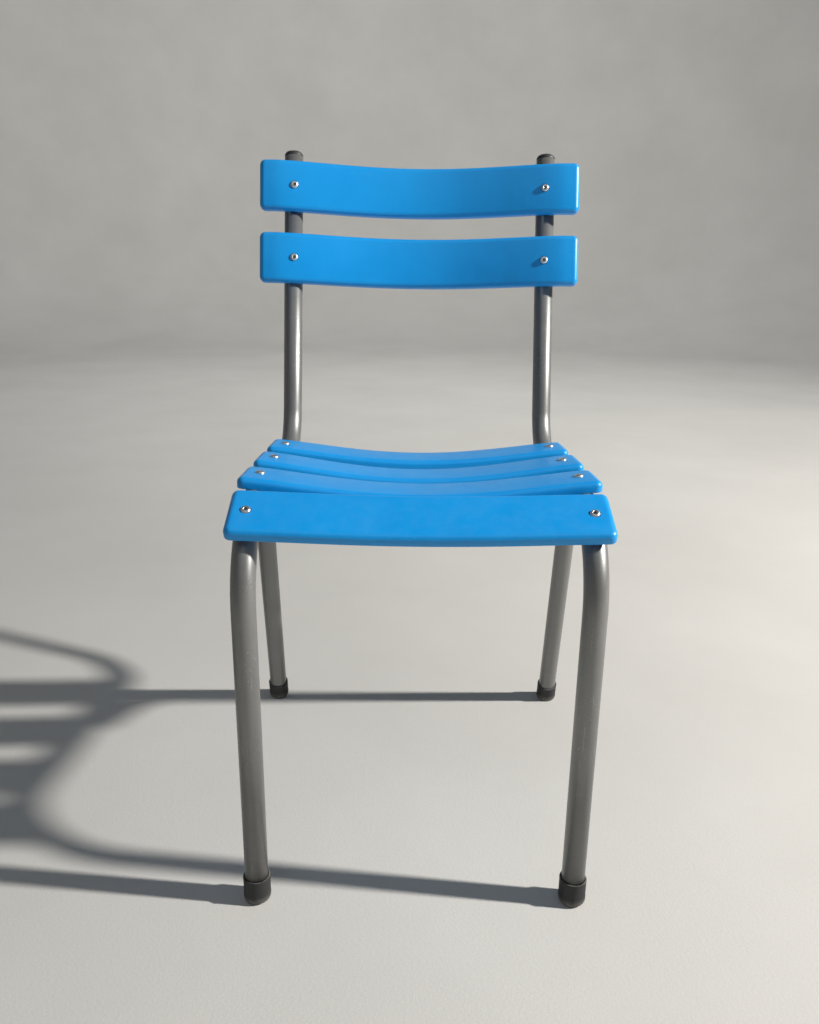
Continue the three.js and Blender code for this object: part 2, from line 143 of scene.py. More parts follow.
def lamp(name, place, aim, size, power, colour):
    """A round lamp, size in metres across and power in watts, turned to the point it lights."""
    data = bpy.data.lights.new(name, "AREA")
    data.shape = "DISK"
    data.size = size
    data.energy = power
    data.color = colour
    thing = bpy.data.objects.new(name, data)
    thing.location = place
    thing.rotation_euler = (Vector(aim) - Vector(place)).to_track_quat("-Z", "Y").to_euler()
    bpy.context.scene.collection.objects.link(thing)


lamp("key", (3.54, -0.62, 2.58), (0, 0, 0.42), 0.18, 295, (1.0, 0.965, 0.91))
lamp("sky", (-0.4, -2.2, 3.9), (0, 0, 0.4), 3.2, 12, (0.78, 0.89, 1.0))
lamp("backdrop", (0, 2.6, 3.7), (0, 5.5, 1.9), 2.5, 92, (1.0, 0.99, 0.97))
world = bpy.data.worlds.new("soft_room")
bpy.context.scene.world = world
world.use_nodes = True
world.node_tree.nodes["Background"].inputs["Color"].default_value = (0.80, 0.88, 1.0, 1)
world.node_tree.nodes["Background"].inputs["Strength"].default_value = 0.14
bpy.context.scene.view_settings.view_transform = "Standard"

CAMERA_PLACE = Vector((-0.01549, -0.99782, 0.68674))
CAMERA_DOWN = math.radians(17.2900)
CAMERA_TURN = math.radians(0.3248)
CAMERA_ROLL = math.radians(0.7206)
lens = bpy.data.cameras.new("camera")
lens.sensor_width = 36
lens.lens = 29.069
lens.clip_start = 0.02
ahead = Vector((
    math.sin(CAMERA_TURN) * math.cos(CAMERA_DOWN),
    math.cos(CAMERA_TURN) * math.cos(CAMERA_DOWN),
    -math.sin(CAMERA_DOWN)))
level = Vector((math.cos(CAMERA_TURN), -math.sin(CAMERA_TURN), 0))
upright = level.cross(ahead)
across = level * math.cos(CAMERA_ROLL) + upright * math.sin(CAMERA_ROLL)
upright = upright * math.cos(CAMERA_ROLL) - level * math.sin(CAMERA_ROLL)
turned = Matrix((across, upright, -ahead)).transposed()
camera = bpy.data.objects.new("camera", lens)
camera.matrix_world = Matrix.Translation(CAMERA_PLACE) @ turned.to_4x4()
bpy.context.scene.collection.objects.link(camera)
bpy.context.scene.camera = camera


# ---------------------------------------------------------------- side frames
# Each side of the chair is one length of 25.4 mm steel tube with a 1.6 mm wall, bent twice:
# front leg, seat rail, upright. It is powder coated in a satin metallic grey that shows a
# fine orange peel, and rub marks where chairs have been stacked.

SIDES = (("left", -1), ("right", 1))
FRONT_FOOT_Y = -0.2439672
HALF_SPACING = 0.175
TUBE_RADIUS = 0.0127
TUBE_WALL = 0.0016
TUBE_SIDES = 48
BEND_STEP = math.radians(3)
SHARP_ANGLE = math.radians(32)
FRONT_RAKE = math.radians(0.3)
RAIL_SLOPE = math.radians(3.1)
BACK_LEAN = math.radians(14.8)
FRONT_CORNER_HEIGHT = 0.4433
RAIL_RUN = 0.385
UPRIGHT_LENGTH = 0.405
FRONT_BEND_RADIUS = 0.093
REAR_BEND_RADIUS = 0.070
FRONT_TUBE_END = 0.008

leg_way = Vector((0, math.sin(FRONT_RAKE), math.cos(FRONT_RAKE)))
rail_way = Vector((0, math.cos(RAIL_SLOPE), -math.sin(RAIL_SLOPE)))
upright_way = Vector((0, math.sin(BACK_LEAN), math.cos(BACK_LEAN)))
front_foot = Vector((0, FRONT_FOOT_Y, 0))
front_corner = front_foot + Vector(
    (0, FRONT_CORNER_HEIGHT * math.tan(FRONT_RAKE), FRONT_CORNER_HEIGHT))
rear_corner = front_corner + rail_way * RAIL_RUN / rail_way.y
upright_end = rear_corner + upright_way * UPRIGHT_LENGTH


def new_points(result):
    """The points among the parts that an operation has made."""
    return [v for v in result if isinstance(v, bmesh.types.BMVert)]


def ring_among(bm, points):
    """The edges that join the given points."""
    inside = set(points)
    return [e for e in bm.edges if e.verts[0] in inside and e.verts[1] in inside]


def push(bm, ring, travel):
    """Draws the tube's end on by a straight run."""
    grown = bmesh.ops.extrude_edge_only(bm, edges=ring)
    points = new_points(grown["geom"])
    bmesh.ops.translate(bm, verts=points, vec=travel)
    return ring_among(bm, points)


def draw_tube(bm, corners, radii, radius=TUBE_RADIUS):
    """A round tube through the corners, bent at each inner one. Gives its last ring."""
    way = (corners[1] - corners[0]).normalized()
    points = bmesh.ops.create_circle(bm, segments=TUBE_SIDES, radius=radius)["verts"]
    bmesh.ops.rotate(bm, verts=points, cent=(0, 0, 0), matrix=way.to_track_quat("Z", "Y").to_matrix())
    bmesh.ops.translate(bm, verts=points, vec=corners[0])
    ring = ring_among(bm, points)
    here = corners[0]
    for corner, after, bend in zip(corners[1:], corners[2:], radii):
        onward = (after - corner).normalized()
        angle = way.angle(onward)
        start = corner - way * bend * math.tan(angle / 2)
        ring = push(bm, ring, start - here)
        axis = way.cross(onward).normalized()
        middle = start + axis.cross(way) * bend
        points = list({v for e in ring for v in e.verts})
        spun = bmesh.ops.spin(
            bm, geom=points + ring, cent=middle, axis=axis, angle=angle, steps=math.ceil(angle / BEND_STEP))
        ring = ring_among(bm, new_points(spun["geom_last"]))
        here = middle + Quaternion(axis, angle) @ (start - middle)
        way = onward
    if (corners[-1] - here).length > 1e-6:
        ring = push(bm, ring, corners[-1] - here)
    return ring


def side_corners(side):
    """The corners of one side's tube, from the front foot to the top of the upright."""
    path = [front_foot + leg_way * FRONT_TUBE_END, front_corner, rear_corner, upright_end]
    return [Vector((side * HALF_SPACING, p.y, p.z)) for p in path]


def made(name, bm, material, smooth=SHARP_ANGLE):
    """Turns finished mesh work into an object, smooth except at its sharp edges."""
    mesh = bpy.data.meshes.new(name)
    bm.to_mesh(mesh)
    bm.free()
    mesh.shade_smooth()
    mesh.set_sharp_from_angle(angle=smooth)
    mesh.materials.append(material)
    piece = bpy.data.objects.new(name, mesh)
    bpy.context.scene.collection.objects.link(piece)
    return piece


def marks_of_use():
    """Node group: what handling, weather and moulding leave on any surface of the chair."""
    group = bpy.data.node_groups.new("marks_of_use", "ShaderNodeTree")
    for name, value in (
            ("Grain Scale", 900.0), ("Scratch Level", 0.7), ("Edge Radius", 0.0012), ("Dust Level", 0.5)):
        socket = group.interface.new_socket(name, in_out="INPUT", socket_type="NodeSocketFloat")
        socket.default_value = value
    for name in ("Mottle", "Grain", "Scratch", "Edge", "Dust"):
        group.interface.new_socket(name, in_out="OUTPUT", socket_type="NodeSocketFloat")
    given = group.nodes.new("NodeGroupInput").outputs
    result = group.nodes.new("NodeGroupOutput").inputs
    place = own_place(group)

    cloud = say(group, "TexNoise", Vector=place, Scale=14.0, Detail=5.0, Roughness=0.6)
    mottle = say(group, "MapRange", Value=cloud.outputs["Fac"], i1=0.3, i2=0.7, i3=0.0, i4=1.0)
    group.links.new(mottle.outputs["Result"], result["Mottle"])

    grain = say(group, "TexNoise", Vector=place, Scale=given["Grain Scale"], Detail=3.0, Roughness=0.55)
    group.links.new(grain.outputs["Fac"], result["Grain"])

    lines = []
    for turn, stretch in (((0.3, 0.2, 0.5), (900, 900, 14)), ((1.2, 0.9, 0.1), (700, 10, 700))):
        turned = say(group, "Mapping", Vector=place, Rotation=turn, Scale=stretch)
        streak = say(group, "TexNoise", Vector=turned.outputs["Vector"], Scale=1.0, Detail=2.0)
        line = say(group, "MapRange", Value=streak.outputs["Fac"], i3=0.0, i4=1.0)
        group.links.new(given["Scratch Level"], line.inputs[1])
        above = say(group, "Math", _operation="ADD", i0=given["Scratch Level"], i1=0.045)
        group.links.new(above.outputs[0], line.inputs[2])
        lines.append(line.outputs["Result"])
    both = say(group, "Math", _operation="MAXIMUM", i0=lines[0], i1=lines[1])
    patch = say(group, "TexNoise", Vector=place, Scale=23.0, Detail=2.0)
    where = say(group, "MapRange", Value=patch.outputs["Fac"], i1=0.47, i2=0.62, i3=0.0, i4=1.0)
    scratch = say(group, "Math", _operation="MULTIPLY", i0=both.outputs[0], i1=where.outputs["Result"])
    group.links.new(scratch.outputs[0], result["Scratch"])

    geometry = say(group, "NewGeometry")
    rounded = say(group, "Bevel", _samples=4, Radius=given["Edge Radius"])
    facing = say(
        group, "VectorMath", _operation="DOT_PRODUCT", i0=rounded.outputs["Normal"],
        i1=geometry.outputs["Normal"])
    away = say(group, "MapRange", Value=facing.outputs["Value"], i1=0.995, i2=0.90, i3=0.0, i4=1.0)
    chips = say(group, "TexNoise", Vector=place, Scale=160.0, Detail=4.0, Roughness=0.7)
    kept = say(group, "MapRange", Value=chips.outputs["Fac"], i1=0.42, i2=0.66, i3=0.0, i4=1.0)
    edge = say(group, "Math", _operation="MULTIPLY", i0=away.outputs["Result"], i1=kept.outputs["Result"])
    group.links.new(edge.outputs[0], result["Edge"])

    split = say(group, "SeparateXYZ", Vector=geometry.outputs["Normal"])
    upward = say(group, "MapRange", Value=split.outputs["Z"], i1=0.25, i2=0.95, i3=0.0, i4=1.0)
    powder = say(group, "TexNoise", Vector=place, Scale=48.0, Detail=8.0, Roughness=0.72)
    settled = say(group, "MapRange", Value=powder.outputs["Fac"], i1=0.38, i2=0.78, i3=0.0, i4=1.0)
    lying = say(
        group, "Math", _operation="MULTIPLY", i0=upward.outputs["Result"], i1=settled.outputs["Result"])
    dust = say(group, "Math", _operation="MULTIPLY", i0=lying.outputs[0], i1=given["Dust Level"])
    group.links.new(dust.outputs[0], result["Dust"])
    return group


marks_group = marks_of_use()


def marks(tree, **values):
    """The marks of use in one material, as masks from 0 to 1."""
    node = tree.nodes.new("ShaderNodeGroup")
    node.node_tree = marks_group
    for name, value in values.items():
        node.inputs[name.replace("_", " ")].default_value = value
    return node.outputs


def blend_colour(tree, share, under, over):
    """One colour laid over another by a mask."""
    node = say(tree, "Mix", _data_type="RGBA", Factor=share)
    for socket, colour in ((node.inputs["A"], under), (node.inputs["B"], over)):
        if isinstance(colour, bpy.types.NodeSocket):
            tree.links.new(colour, socket)
        else:
            socket.default_value = (*colour, 1)
    return node.outputs["Result"]


def math_of(tree, operation, first, second, third=0.0):
    """One sum on two or three sockets or values."""
    return say(tree, "Math", _operation=operation, i0=first, i1=second, i2=third).outputs[0]


powder_coat, tree, shader = finish_named("satin_grey_powder_coat", (0.36, 0.37, 0.37))
seen = marks(tree, Grain_Scale=620.0, Scratch_Level=0.66, Edge_Radius=0.0010, Dust_Level=0.35)
colour = blend_colour(tree, seen["Mottle"], (0.165, 0.167, 0.164), (0.195, 0.196, 0.192))
flakes = say(tree, "TexVoronoi", Vector=own_place(tree), Scale=2600.0)
sparkle = say(tree, "MapRange", Value=flakes.outputs["Distance"], i1=0.0, i2=0.8, i3=1.0, i4=0.0)
glints = math_of(tree, "MULTIPLY", sparkle.outputs["Result"], 0.30)
colour = blend_colour(tree, glints, colour, (0.50, 0.50, 0.49))
colour = blend_colour(tree, math_of(tree, "MULTIPLY", seen["Scratch"], 0.65), colour, (0.50, 0.50, 0.49))
colour = blend_colour(tree, math_of(tree, "MULTIPLY", seen["Dust"], 0.5), colour, (0.42, 0.40, 0.36))
tree.links.new(colour, shader.inputs["Base Color"])
gloss = math_of(tree, "MULTIPLY_ADD", seen["Mottle"], 0.07, 0.36)
gloss = math_of(tree, "MULTIPLY_ADD", seen["Scratch"], 0.14, gloss)
gloss = math_of(tree, "MULTIPLY_ADD", seen["Dust"], 0.40, gloss)
tree.links.new(gloss, shader.inputs["Roughness"])
shader.inputs["Metallic"].default_value = 0.55
height = math_of(tree, "MULTIPLY_ADD", seen["Scratch"], -0.6, seen["Grain"])
height = math_of(tree, "MULTIPLY_ADD", sparkle.outputs["Result"], 0.12, height)
peel = say(tree, "Bump", Height=height, Strength=0.55, Distance=0.00006)
tree.links.new(peel.outputs["Normal"], shader.inputs["Normal"])

for label, side in SIDES:
    bm = bmesh.new()
    draw_tube(bm, side_corners(side), (FRONT_BEND_RADIUS, REAR_BEND_RADIUS))
    bmesh.ops.recalc_face_normals(bm, faces=bm.faces)
    tube = made(f"frame_tube_{label}", bm, powder_coat)
    wall = tube.modifiers.new("wall", "SOLIDIFY")
    wall.thickness = TUBE_WALL
    wall.offset = -1
    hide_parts(f"side_frame_{label}")
    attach(tube, "root")


# ---------------------------------------------------------------- rear legs
# Each rear leg is a shorter length of the same tube. It stands outside the side frame, bends
# forward and inward under the seat, and its end is cut to the curve of the rail and welded
# there with one run of weld, all under the same grey coat.

REAR_FOOT = Vector((0.217, 0.446 + FRONT_FOOT_Y, 0))
REAR_CORNER_HEIGHT = 0.417
REAR_LEG_RAKE = 0.347
REAR_LEG_SPLAY = 0.027
REAR_JOINT_Y = 0.232 + FRONT_FOOT_Y
REAR_JOINT_DROP = 0.0105
REAR_LEG_BEND_RADIUS = 0.045
REAR_TUBE_END = 0.0093
BEAD_RADIUS = 0.0019
BEAD_STEP = 0.0006
RIPPLE_PITCH = 0.0026
RIPPLE_SHARE = 0.16
WAVER_RATE = 310
WAVER_SHARE = 0.06


def rear_leg_way(side):
    """The way up a rear leg, which leans forward and inward."""
    return Vector((-side * REAR_LEG_SPLAY, -REAR_LEG_RAKE, 1)).normalized()


def rear_foot_point(side):
    return Vector((side * REAR_FOOT.x, REAR_FOOT.y, 0))


def reach_rail(point, way, rail_point):
    """How far a point goes along its way before it meets the rail's skin, or None."""
    gap = point - rail_point
    flat_way = way - rail_way * way.dot(rail_way)
    flat_gap = gap - rail_way * gap.dot(rail_way)
    a = flat_way.length_squared
    b = flat_way.dot(flat_gap)
    c = flat_gap.length_squared - TUBE_RADIUS ** 2
    inside = b * b - a * c
    if inside < 0:
        return None
    return (-b - math.sqrt(inside)) / a


for label, side in SIDES:
    way_up = rear_leg_way(side)
    foot = rear_foot_point(side)
    corner = foot + way_up * REAR_CORNER_HEIGHT / way_up.z
    joint = front_corner + rail_way * (REAR_JOINT_Y - front_corner.y) / rail_way.y
    joint = Vector((side * HALF_SPACING, joint.y, joint.z - REAR_JOINT_DROP))
    last_way = (joint - corner).normalized()
    angle = way_up.angle(last_way)
    bend_end = corner + last_way * REAR_LEG_BEND_RADIUS * math.tan(angle / 2)
    bm = bmesh.new()
    tube_end = foot + way_up * REAR_TUBE_END
    ring = draw_tube(bm, [tube_end, corner, bend_end], (REAR_LEG_BEND_RADIUS,))
    upper = push(bm, ring, (0, 0, 0))

    # each point of the last ring, taken in turn, is drawn on until it meets the rail's skin
    rail_point = Vector((side * HALF_SPACING, front_corner.y, front_corner.z))
    order = []
    edge = upper[0]
    point = edge.verts[0]
    while len(order) < TUBE_SIDES:
        order.append(point)
        point = edge.other_vert(point)
        edge = next(e for e in point.link_edges if e in upper and e is not edge)
    for point in order:
        furthest = (joint - point.co).dot(last_way)
        met = reach_rail(point.co, last_way, rail_point)
        travel = furthest if met is None else min(met, furthest)
        point.co += last_way * travel
    seam = [point.co.copy() for point in order]
    bmesh.ops.holes_fill(bm, edges=bm.edges, sides=0)
    bmesh.ops.triangulate(bm, faces=[f for f in bm.faces if len(f.verts) > 4])
    bmesh.ops.recalc_face_normals(bm, faces=bm.faces)
    leg = made(f"rear_leg_tube_{label}", bm, powder_coat)
    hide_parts(f"rear_leg_{label}")
    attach(leg, "root")

    # the weld is one bead along the seam, with a ripple every 2.6 mm
    beads = []
    for a, b in zip(seam, seam[1:] + seam[:1]):
        count = max(1, math.ceil((b - a).length / BEAD_STEP))
        beads += [a.lerp(b, i / count) for i in range(count)]
    line = bpy.data.curves.new(f"weld_{label}", "CURVE")
    line.dimensions = "3D"
    line.bevel_depth = BEAD_RADIUS
    line.bevel_resolution = 4
    spline = line.splines.new("POLY")
    spline.points.add(len(beads) - 1)
    walked = 0.0
    for i, (bead, spot) in enumerate(zip(beads, spline.points)):
        walked += (bead - beads[i - 1]).length if i else 0
        spot.co = (*bead, 1)
        ripple = RIPPLE_SHARE * abs(math.sin(math.pi * walked / RIPPLE_PITCH))
        spot.radius = 1 + ripple + WAVER_SHARE * math.sin(walked * WAVER_RATE)
    spline.use_cyclic_u = True
    drawn = bpy.data.objects.new("weld_line", line)
    bpy.context.scene.collection.objects.link(drawn)
    bpy.context.view_layer.update()
    depsgraph = bpy.context.evaluated_depsgraph_get()
    weld_mesh = bpy.data.meshes.new_from_object(drawn.evaluated_get(depsgraph))
    bpy.data.objects.remove(drawn)
    bm = bmesh.new()
    bm.from_mesh(weld_mesh)
    bpy.data.meshes.remove(weld_mesh)
    bmesh.ops.smooth_vert(
        bm, verts=bm.verts, factor=0.3, use_axis_x=True, use_axis_y=True, use_axis_z=True)
    bmesh.ops.recalc_face_normals(bm, faces=bm.faces)
    weld = made(f"rear_leg_weld_{label}", bm, powder_coat, math.radians(80))
    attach(weld, "root")


# ---------------------------------------------------------------- seat and back slats
# Six moulded plastic slats in bright blue, 68 mm wide and 12 mm deep: open channels 3.5 mm
# thick with three cross ribs, two screw bosses, a notch over each tube, and walls grooved from
# below between the ribs. The seat's dip 6 to 21 mm in the middle, the back's 28 mm.

SLAT_WIDTH = 0.068
SLAT_DEPTH = 0.012
SLAT_WALL = 0.0035
SLAT_TOP = 0.022
SLAT_EDGE_RADIUS = 0.0065
SLAT_CORNER_RADIUS = 0.008
SLAT_LOWER_RADIUS = 0.0006
SLAT_CUTS = 96
SEAT_SLAT_LENGTH = 0.386
BACK_SLAT_LENGTH = 0.438
SECOND_SLAT_PLACE = 0.1115
SEAT_PITCH = 0.0962
LOWER_BACK_SLAT_PLACE = 0.2626
BACK_PITCH = 0.0978
FRONT_DISH = 0.006
SEAT_DISHES = (0.018, 0.021, 0.017)
BACK_DISH = 0.028
DISH_END = 0.200
DISH_POWER = 1.6
RIB_THICKNESS = 0.0025
RIB_DEPTH = 0.00425
RIB_PLACES = (-0.090, 0.0, 0.090)
CUT_CLEARANCE = 0.0004
STEP_INSET = 0.0001
BOSS_RADIUS = 0.0075
BOSS_END = 0.009
SCREW_SEAT = 0.021
SCREW_SEAT_RADIUS = 0.0058
SCREW_HOLE_RADIUS = 0.0033
INSERT_SPACE_RADIUS = 0.0055
INSERT_SPACE_TOP = 0.0139
NOTCH_GAP = 0.0003
FRONT_SLAT_PLACE = math.radians(57.5)
FRONT_SLAT_ANGLE = math.radians(67)
FRONT_SLAT_SLIDE = -0.003

front_turn = math.pi / 2 + RAIL_SLOPE - FRONT_RAKE
bend_start = front_corner - leg_way * FRONT_BEND_RADIUS * math.tan(front_turn / 2)
bend_middle = bend_start + Vector((0, leg_way.z, -leg_way.y)) * FRONT_BEND_RADIUS
outward = Vector((0, -math.cos(FRONT_SLAT_PLACE), math.sin(FRONT_SLAT_PLACE)))


def slat_place(point, face_elevation):
    """x across the chair, y up the slat's width, z out of its face, z = 0 at the tube's middle."""
    return Matrix.Translation(point) @ Matrix.Rotation(math.pi / 2 - face_elevation, 4, "X")


def dish_depth(x, dish):
    """How far a slat dips at x, below its height over the tubes."""
    def at(place):
        return dish * max(0.0, 1 - (place / DISH_END) ** 2) ** DISH_POWER
    return at(x) - at(HALF_SPACING)


def screw_lean(dish):
    """The slope of the slat where its screws stand."""
    inside = 1 - (HALF_SPACING / DISH_END) ** 2
    slope = 2 * DISH_POWER * dish * HALF_SPACING * inside ** (DISH_POWER - 1) / DISH_END ** 2
    return math.atan(slope)


slats = {}
screw_places = {}


def lay_slat(name, length, dish, place, tilt=0, slide=0):
    """Notes a slat's length, dip and place, and its two screws' places, each along its own axis."""
    slats[name] = (length, dish, place @ Matrix.Translation((0, slide, 0)))
    for label, side in SIDES:
        lean = Matrix.Rotation(tilt, 4, "X") @ Matrix.Rotation(-side * screw_lean(dish), 4, "Y")
        shift = Matrix.Translation((side * HALF_SPACING, 0, 0))
        screw_places[f"{name}_{label}"] = place @ shift @ lean


lay_slat(
    "seat_slat_1", SEAT_SLAT_LENGTH, FRONT_DISH,
    slat_place(bend_middle + outward * FRONT_BEND_RADIUS, FRONT_SLAT_ANGLE),
    FRONT_SLAT_ANGLE - FRONT_SLAT_PLACE, FRONT_SLAT_SLIDE)
for i, dish in enumerate(SEAT_DISHES):
    point = front_corner + rail_way * (SECOND_SLAT_PLACE + SEAT_PITCH * i)
    lay_slat(
        f"seat_slat_{i + 2}", SEAT_SLAT_LENGTH, dish, slat_place(point, math.pi / 2 + RAIL_SLOPE))
for i, name in enumerate(("lower", "upper")):
    point = rear_corner + upright_way * (LOWER_BACK_SLAT_PLACE + BACK_PITCH * i)
    lay_slat(f"back_slat_{name}", BACK_SLAT_LENGTH, BACK_DISH, slat_place(point, BACK_LEAN))


def turned_solid(bm, profile, steps=48):
    """Spins a profile of (radius, height) about z into a closed solid."""
    points = [bm.verts.new((r, 0, z)) for r, z in profile]
    lines = [bm.edges.new(pair) for pair in zip(points, points[1:])]
    bmesh.ops.spin(
        bm, geom=points + lines, cent=(0, 0, 0), axis=(0, 0, 1), angle=2 * math.pi, steps=steps,
        use_merge=True)
    bmesh.ops.remove_doubles(bm, verts=bm.verts, dist=1e-6)
    bmesh.ops.recalc_face_normals(bm, faces=bm.faces)


def faces_below(bm):
    """The level faces that look down."""
    lowest = SLAT_TOP - SLAT_DEPTH
    return [f for f in bm.faces if f.normal.z < -0.99 and f.calc_center_median().z > lowest]


def channel(length, dish):
    """The bare moulding in its own frame: a dished tray, open below, with cross ribs."""
    bm = bmesh.new()
    bmesh.ops.create_cube(bm, size=1)
    bmesh.ops.scale(bm, verts=bm.verts, vec=(length, SLAT_WIDTH, SLAT_DEPTH))
    bmesh.ops.translate(bm, verts=bm.verts, vec=(0, 0, SLAT_TOP - SLAT_DEPTH / 2))
    corners = [e for e in bm.edges if abs(e.verts[0].co.z - e.verts[1].co.z) > 0.01]
    bmesh.ops.bevel(
        bm, geom=corners, offset=SLAT_CORNER_RADIUS, segments=8, profile=0.5, affect="EDGES",
        material=-1)
    top = max(bm.faces, key=lambda f: f.calc_center_median().z)
    bmesh.ops.bevel(
        bm, geom=top.edges[:], offset=SLAT_EDGE_RADIUS, segments=6, profile=0.5, affect="EDGES",
        material=-1)
    below = min(bm.faces, key=lambda f: f.calc_center_median().z)
    bmesh.ops.bevel(
        bm, geom=below.edges[:], offset=SLAT_LOWER_RADIUS, segments=3, profile=0.5, affect="EDGES",
        material=-1)
    below = min(bm.faces, key=lambda f: f.calc_center_median().z)
    bmesh.ops.inset_region(
        bm, faces=[below], thickness=SLAT_WALL - SLAT_LOWER_RADIUS, use_even_offset=True)
    shallow = SLAT_DEPTH - SLAT_WALL - RIB_DEPTH
    bmesh.ops.inset_region(
        bm, faces=[below], thickness=STEP_INSET, depth=-shallow, use_even_offset=True)
    for middle in RIB_PLACES:
        for edge_of_rib in (middle - RIB_THICKNESS / 2, middle + RIB_THICKNESS / 2):
            level = faces_below(bm)
            parts = {v for f in level for v in f.verts} | {e for f in level for e in f.edges} | set(level)
            bmesh.ops.bisect_plane(bm, geom=list(parts), plane_co=(edge_of_rib, 0, 0), plane_no=(1, 0, 0))

    # all but the ribs is sunk by their depth. The walls' undersides are too, which leaves a
    # groove between an outer lip 0.7 mm thick and a thin fin along the inside
    sunk = [
        f for f in faces_below(bm)
        if min(abs(f.calc_center_median().x - m) for m in RIB_PLACES) > RIB_THICKNESS]
    bmesh.ops.inset_region(
        bm, faces=sunk, thickness=STEP_INSET, depth=-RIB_DEPTH, use_even_offset=True)
    for i in range(1, SLAT_CUTS):
        x = length * (i / SLAT_CUTS - 0.5)
        if all(abs(abs(x - m) - RIB_THICKNESS / 2) > CUT_CLEARANCE for m in RIB_PLACES):
            bmesh.ops.bisect_plane(
                bm, geom=bm.verts[:] + bm.edges[:] + bm.faces[:], plane_co=(x, 0, 0),
                plane_no=(1, 0, 0))
    for v in bm.verts:
        v.co.z -= dish_depth(v.co.x, dish)
    bmesh.ops.recalc_face_normals(bm, faces=bm.faces)
    return bm


def cutter(name, bm):
    """A passing object that is only cut with or joined on."""
    mesh = bpy.data.meshes.new(name)
    bm.to_mesh(mesh)
    bm.free()
    tool = bpy.data.objects.new(name, mesh)
    bpy.context.scene.collection.objects.link(tool)
    return tool


def cut_or_join(piece, tools):
    """Applies each (operation, tool) to the piece for good and throws the tools away."""
    for i, (operation, tool) in enumerate(tools):
        step = piece.modifiers.new(f"step_{i}", "BOOLEAN")
        step.operation = operation
        step.solver = "EXACT"
        step.object = tool
    bpy.context.view_layer.update()
    depsgraph = bpy.context.evaluated_depsgraph_get()
    mesh = bpy.data.meshes.new_from_object(piece.evaluated_get(depsgraph))
    mesh.name = piece.name
    old = piece.data
    piece.modifiers.clear()
    piece.data = mesh
    bpy.data.meshes.remove(old)
    for _, tool in tools:
        if tool.name in bpy.data.objects and not tool.get("keep"):
            bpy.data.objects.remove(tool)
    mesh.shade_smooth()
    mesh.set_sharp_from_angle(angle=SHARP_ANGLE)


blue_plastic, tree, shader = finish_named("bright_blue_moulded_plastic", (0.0, 0.29, 0.72))
seen = marks(tree, Grain_Scale=1500.0, Scratch_Level=0.69, Edge_Radius=0.0016, Dust_Level=0.6)
colour = blend_colour(tree, seen["Mottle"], (0.0003, 0.290, 0.740), (0.0006, 0.318, 0.790))
colour = blend_colour(tree, math_of(tree, "MULTIPLY", seen["Edge"], 0.25), colour, (0.06, 0.44, 0.87))
colour = blend_colour(tree, math_of(tree, "MULTIPLY", seen["Scratch"], 0.38), colour, (0.12, 0.45, 0.84))
colour = blend_colour(tree, math_of(tree, "MULTIPLY", seen["Dust"], 0.06), colour, (0.50, 0.49, 0.46))
tree.links.new(colour, shader.inputs["Base Color"])
gloss = math_of(tree, "MULTIPLY_ADD", seen["Mottle"], 0.06, 0.32)
gloss = math_of(tree, "MULTIPLY_ADD", seen["Scratch"], 0.18, gloss)
gloss = math_of(tree, "MULTIPLY_ADD", seen["Dust"], 0.30, gloss)
tree.links.new(gloss, shader.inputs["Roughness"])
shader.inputs["Specular IOR Level"].default_value = 0.55
sink = say(tree, "TexNoise", Vector=own_place(tree), Scale=30.0, Detail=2.0)
broad = say(tree, "Bump", Height=sink.outputs["Fac"], Strength=0.5, Distance=0.0009)
height = math_of(tree, "MULTIPLY_ADD", seen["Scratch"], -0.8, seen["Grain"])
fine = say(tree, "Bump", Height=height, Strength=0.5, Distance=0.000035, Normal=broad.outputs["Normal"])
tree.links.new(fine.outputs["Normal"], shader.inputs["Normal"])

bars = []
for side in (-1, 1):
    bm = bmesh.new()
    draw_tube(bm, side_corners(side), (FRONT_BEND_RADIUS, REAR_BEND_RADIUS), TUBE_RADIUS + NOTCH_GAP)
    bmesh.ops.holes_fill(bm, edges=bm.edges, sides=0)
    bmesh.ops.recalc_face_normals(bm, faces=bm.faces)
    bars.append(cutter("notch_bar", bm))
    bars[-1]["keep"] = True

boss_top = SLAT_TOP - SLAT_WALL / 2
cut_start = BOSS_END + 0.001
cut_end = SLAT_TOP + 0.003
for name, (length, dish, place) in slats.items():
    bm = channel(length, dish)
    bmesh.ops.transform(bm, matrix=place, verts=bm.verts)
    slat = made(f"{name}_moulding", bm, blue_plastic)
    tools = []
    screws = [screw_places[f"{name}_{label}"] for label in ("left", "right")]
    for screw_place in screws:
        bm = bmesh.new()
        turned_solid(bm, (
            (0, BOSS_END), (BOSS_RADIUS, BOSS_END), (BOSS_RADIUS, boss_top), (0, boss_top)), 32)
        bmesh.ops.transform(bm, matrix=screw_place, verts=bm.verts)
        tools.append(("UNION", cutter("boss", bm)))
    tools += [("DIFFERENCE", bar) for bar in bars]
    for screw_place in screws:
        bm = bmesh.new()
        turned_solid(bm, (
            (0, cut_start), (INSERT_SPACE_RADIUS, cut_start), (INSERT_SPACE_RADIUS, INSERT_SPACE_TOP),
            (SCREW_HOLE_RADIUS, INSERT_SPACE_TOP), (SCREW_HOLE_RADIUS, SCREW_SEAT),
            (SCREW_SEAT_RADIUS, SCREW_SEAT), (SCREW_SEAT_RADIUS, cut_end), (0, cut_end)), 40)
        bmesh.ops.transform(bm, matrix=screw_place, verts=bm.verts)
        tools.append(("DIFFERENCE", cutter("screw_seat", bm)))
    cut_or_join(slat, tools)
    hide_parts(name)
    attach(slat, "root")
for bar in bars:
    bpy.data.objects.remove(bar)


# ---------------------------------------------------------------- screws and inserts
# Twelve M6 button-head screws of turned stainless steel with a hexagon socket hold the slats.
# Each runs into a zinc-plated blind insert, which is set in the tube and hidden by the slat.

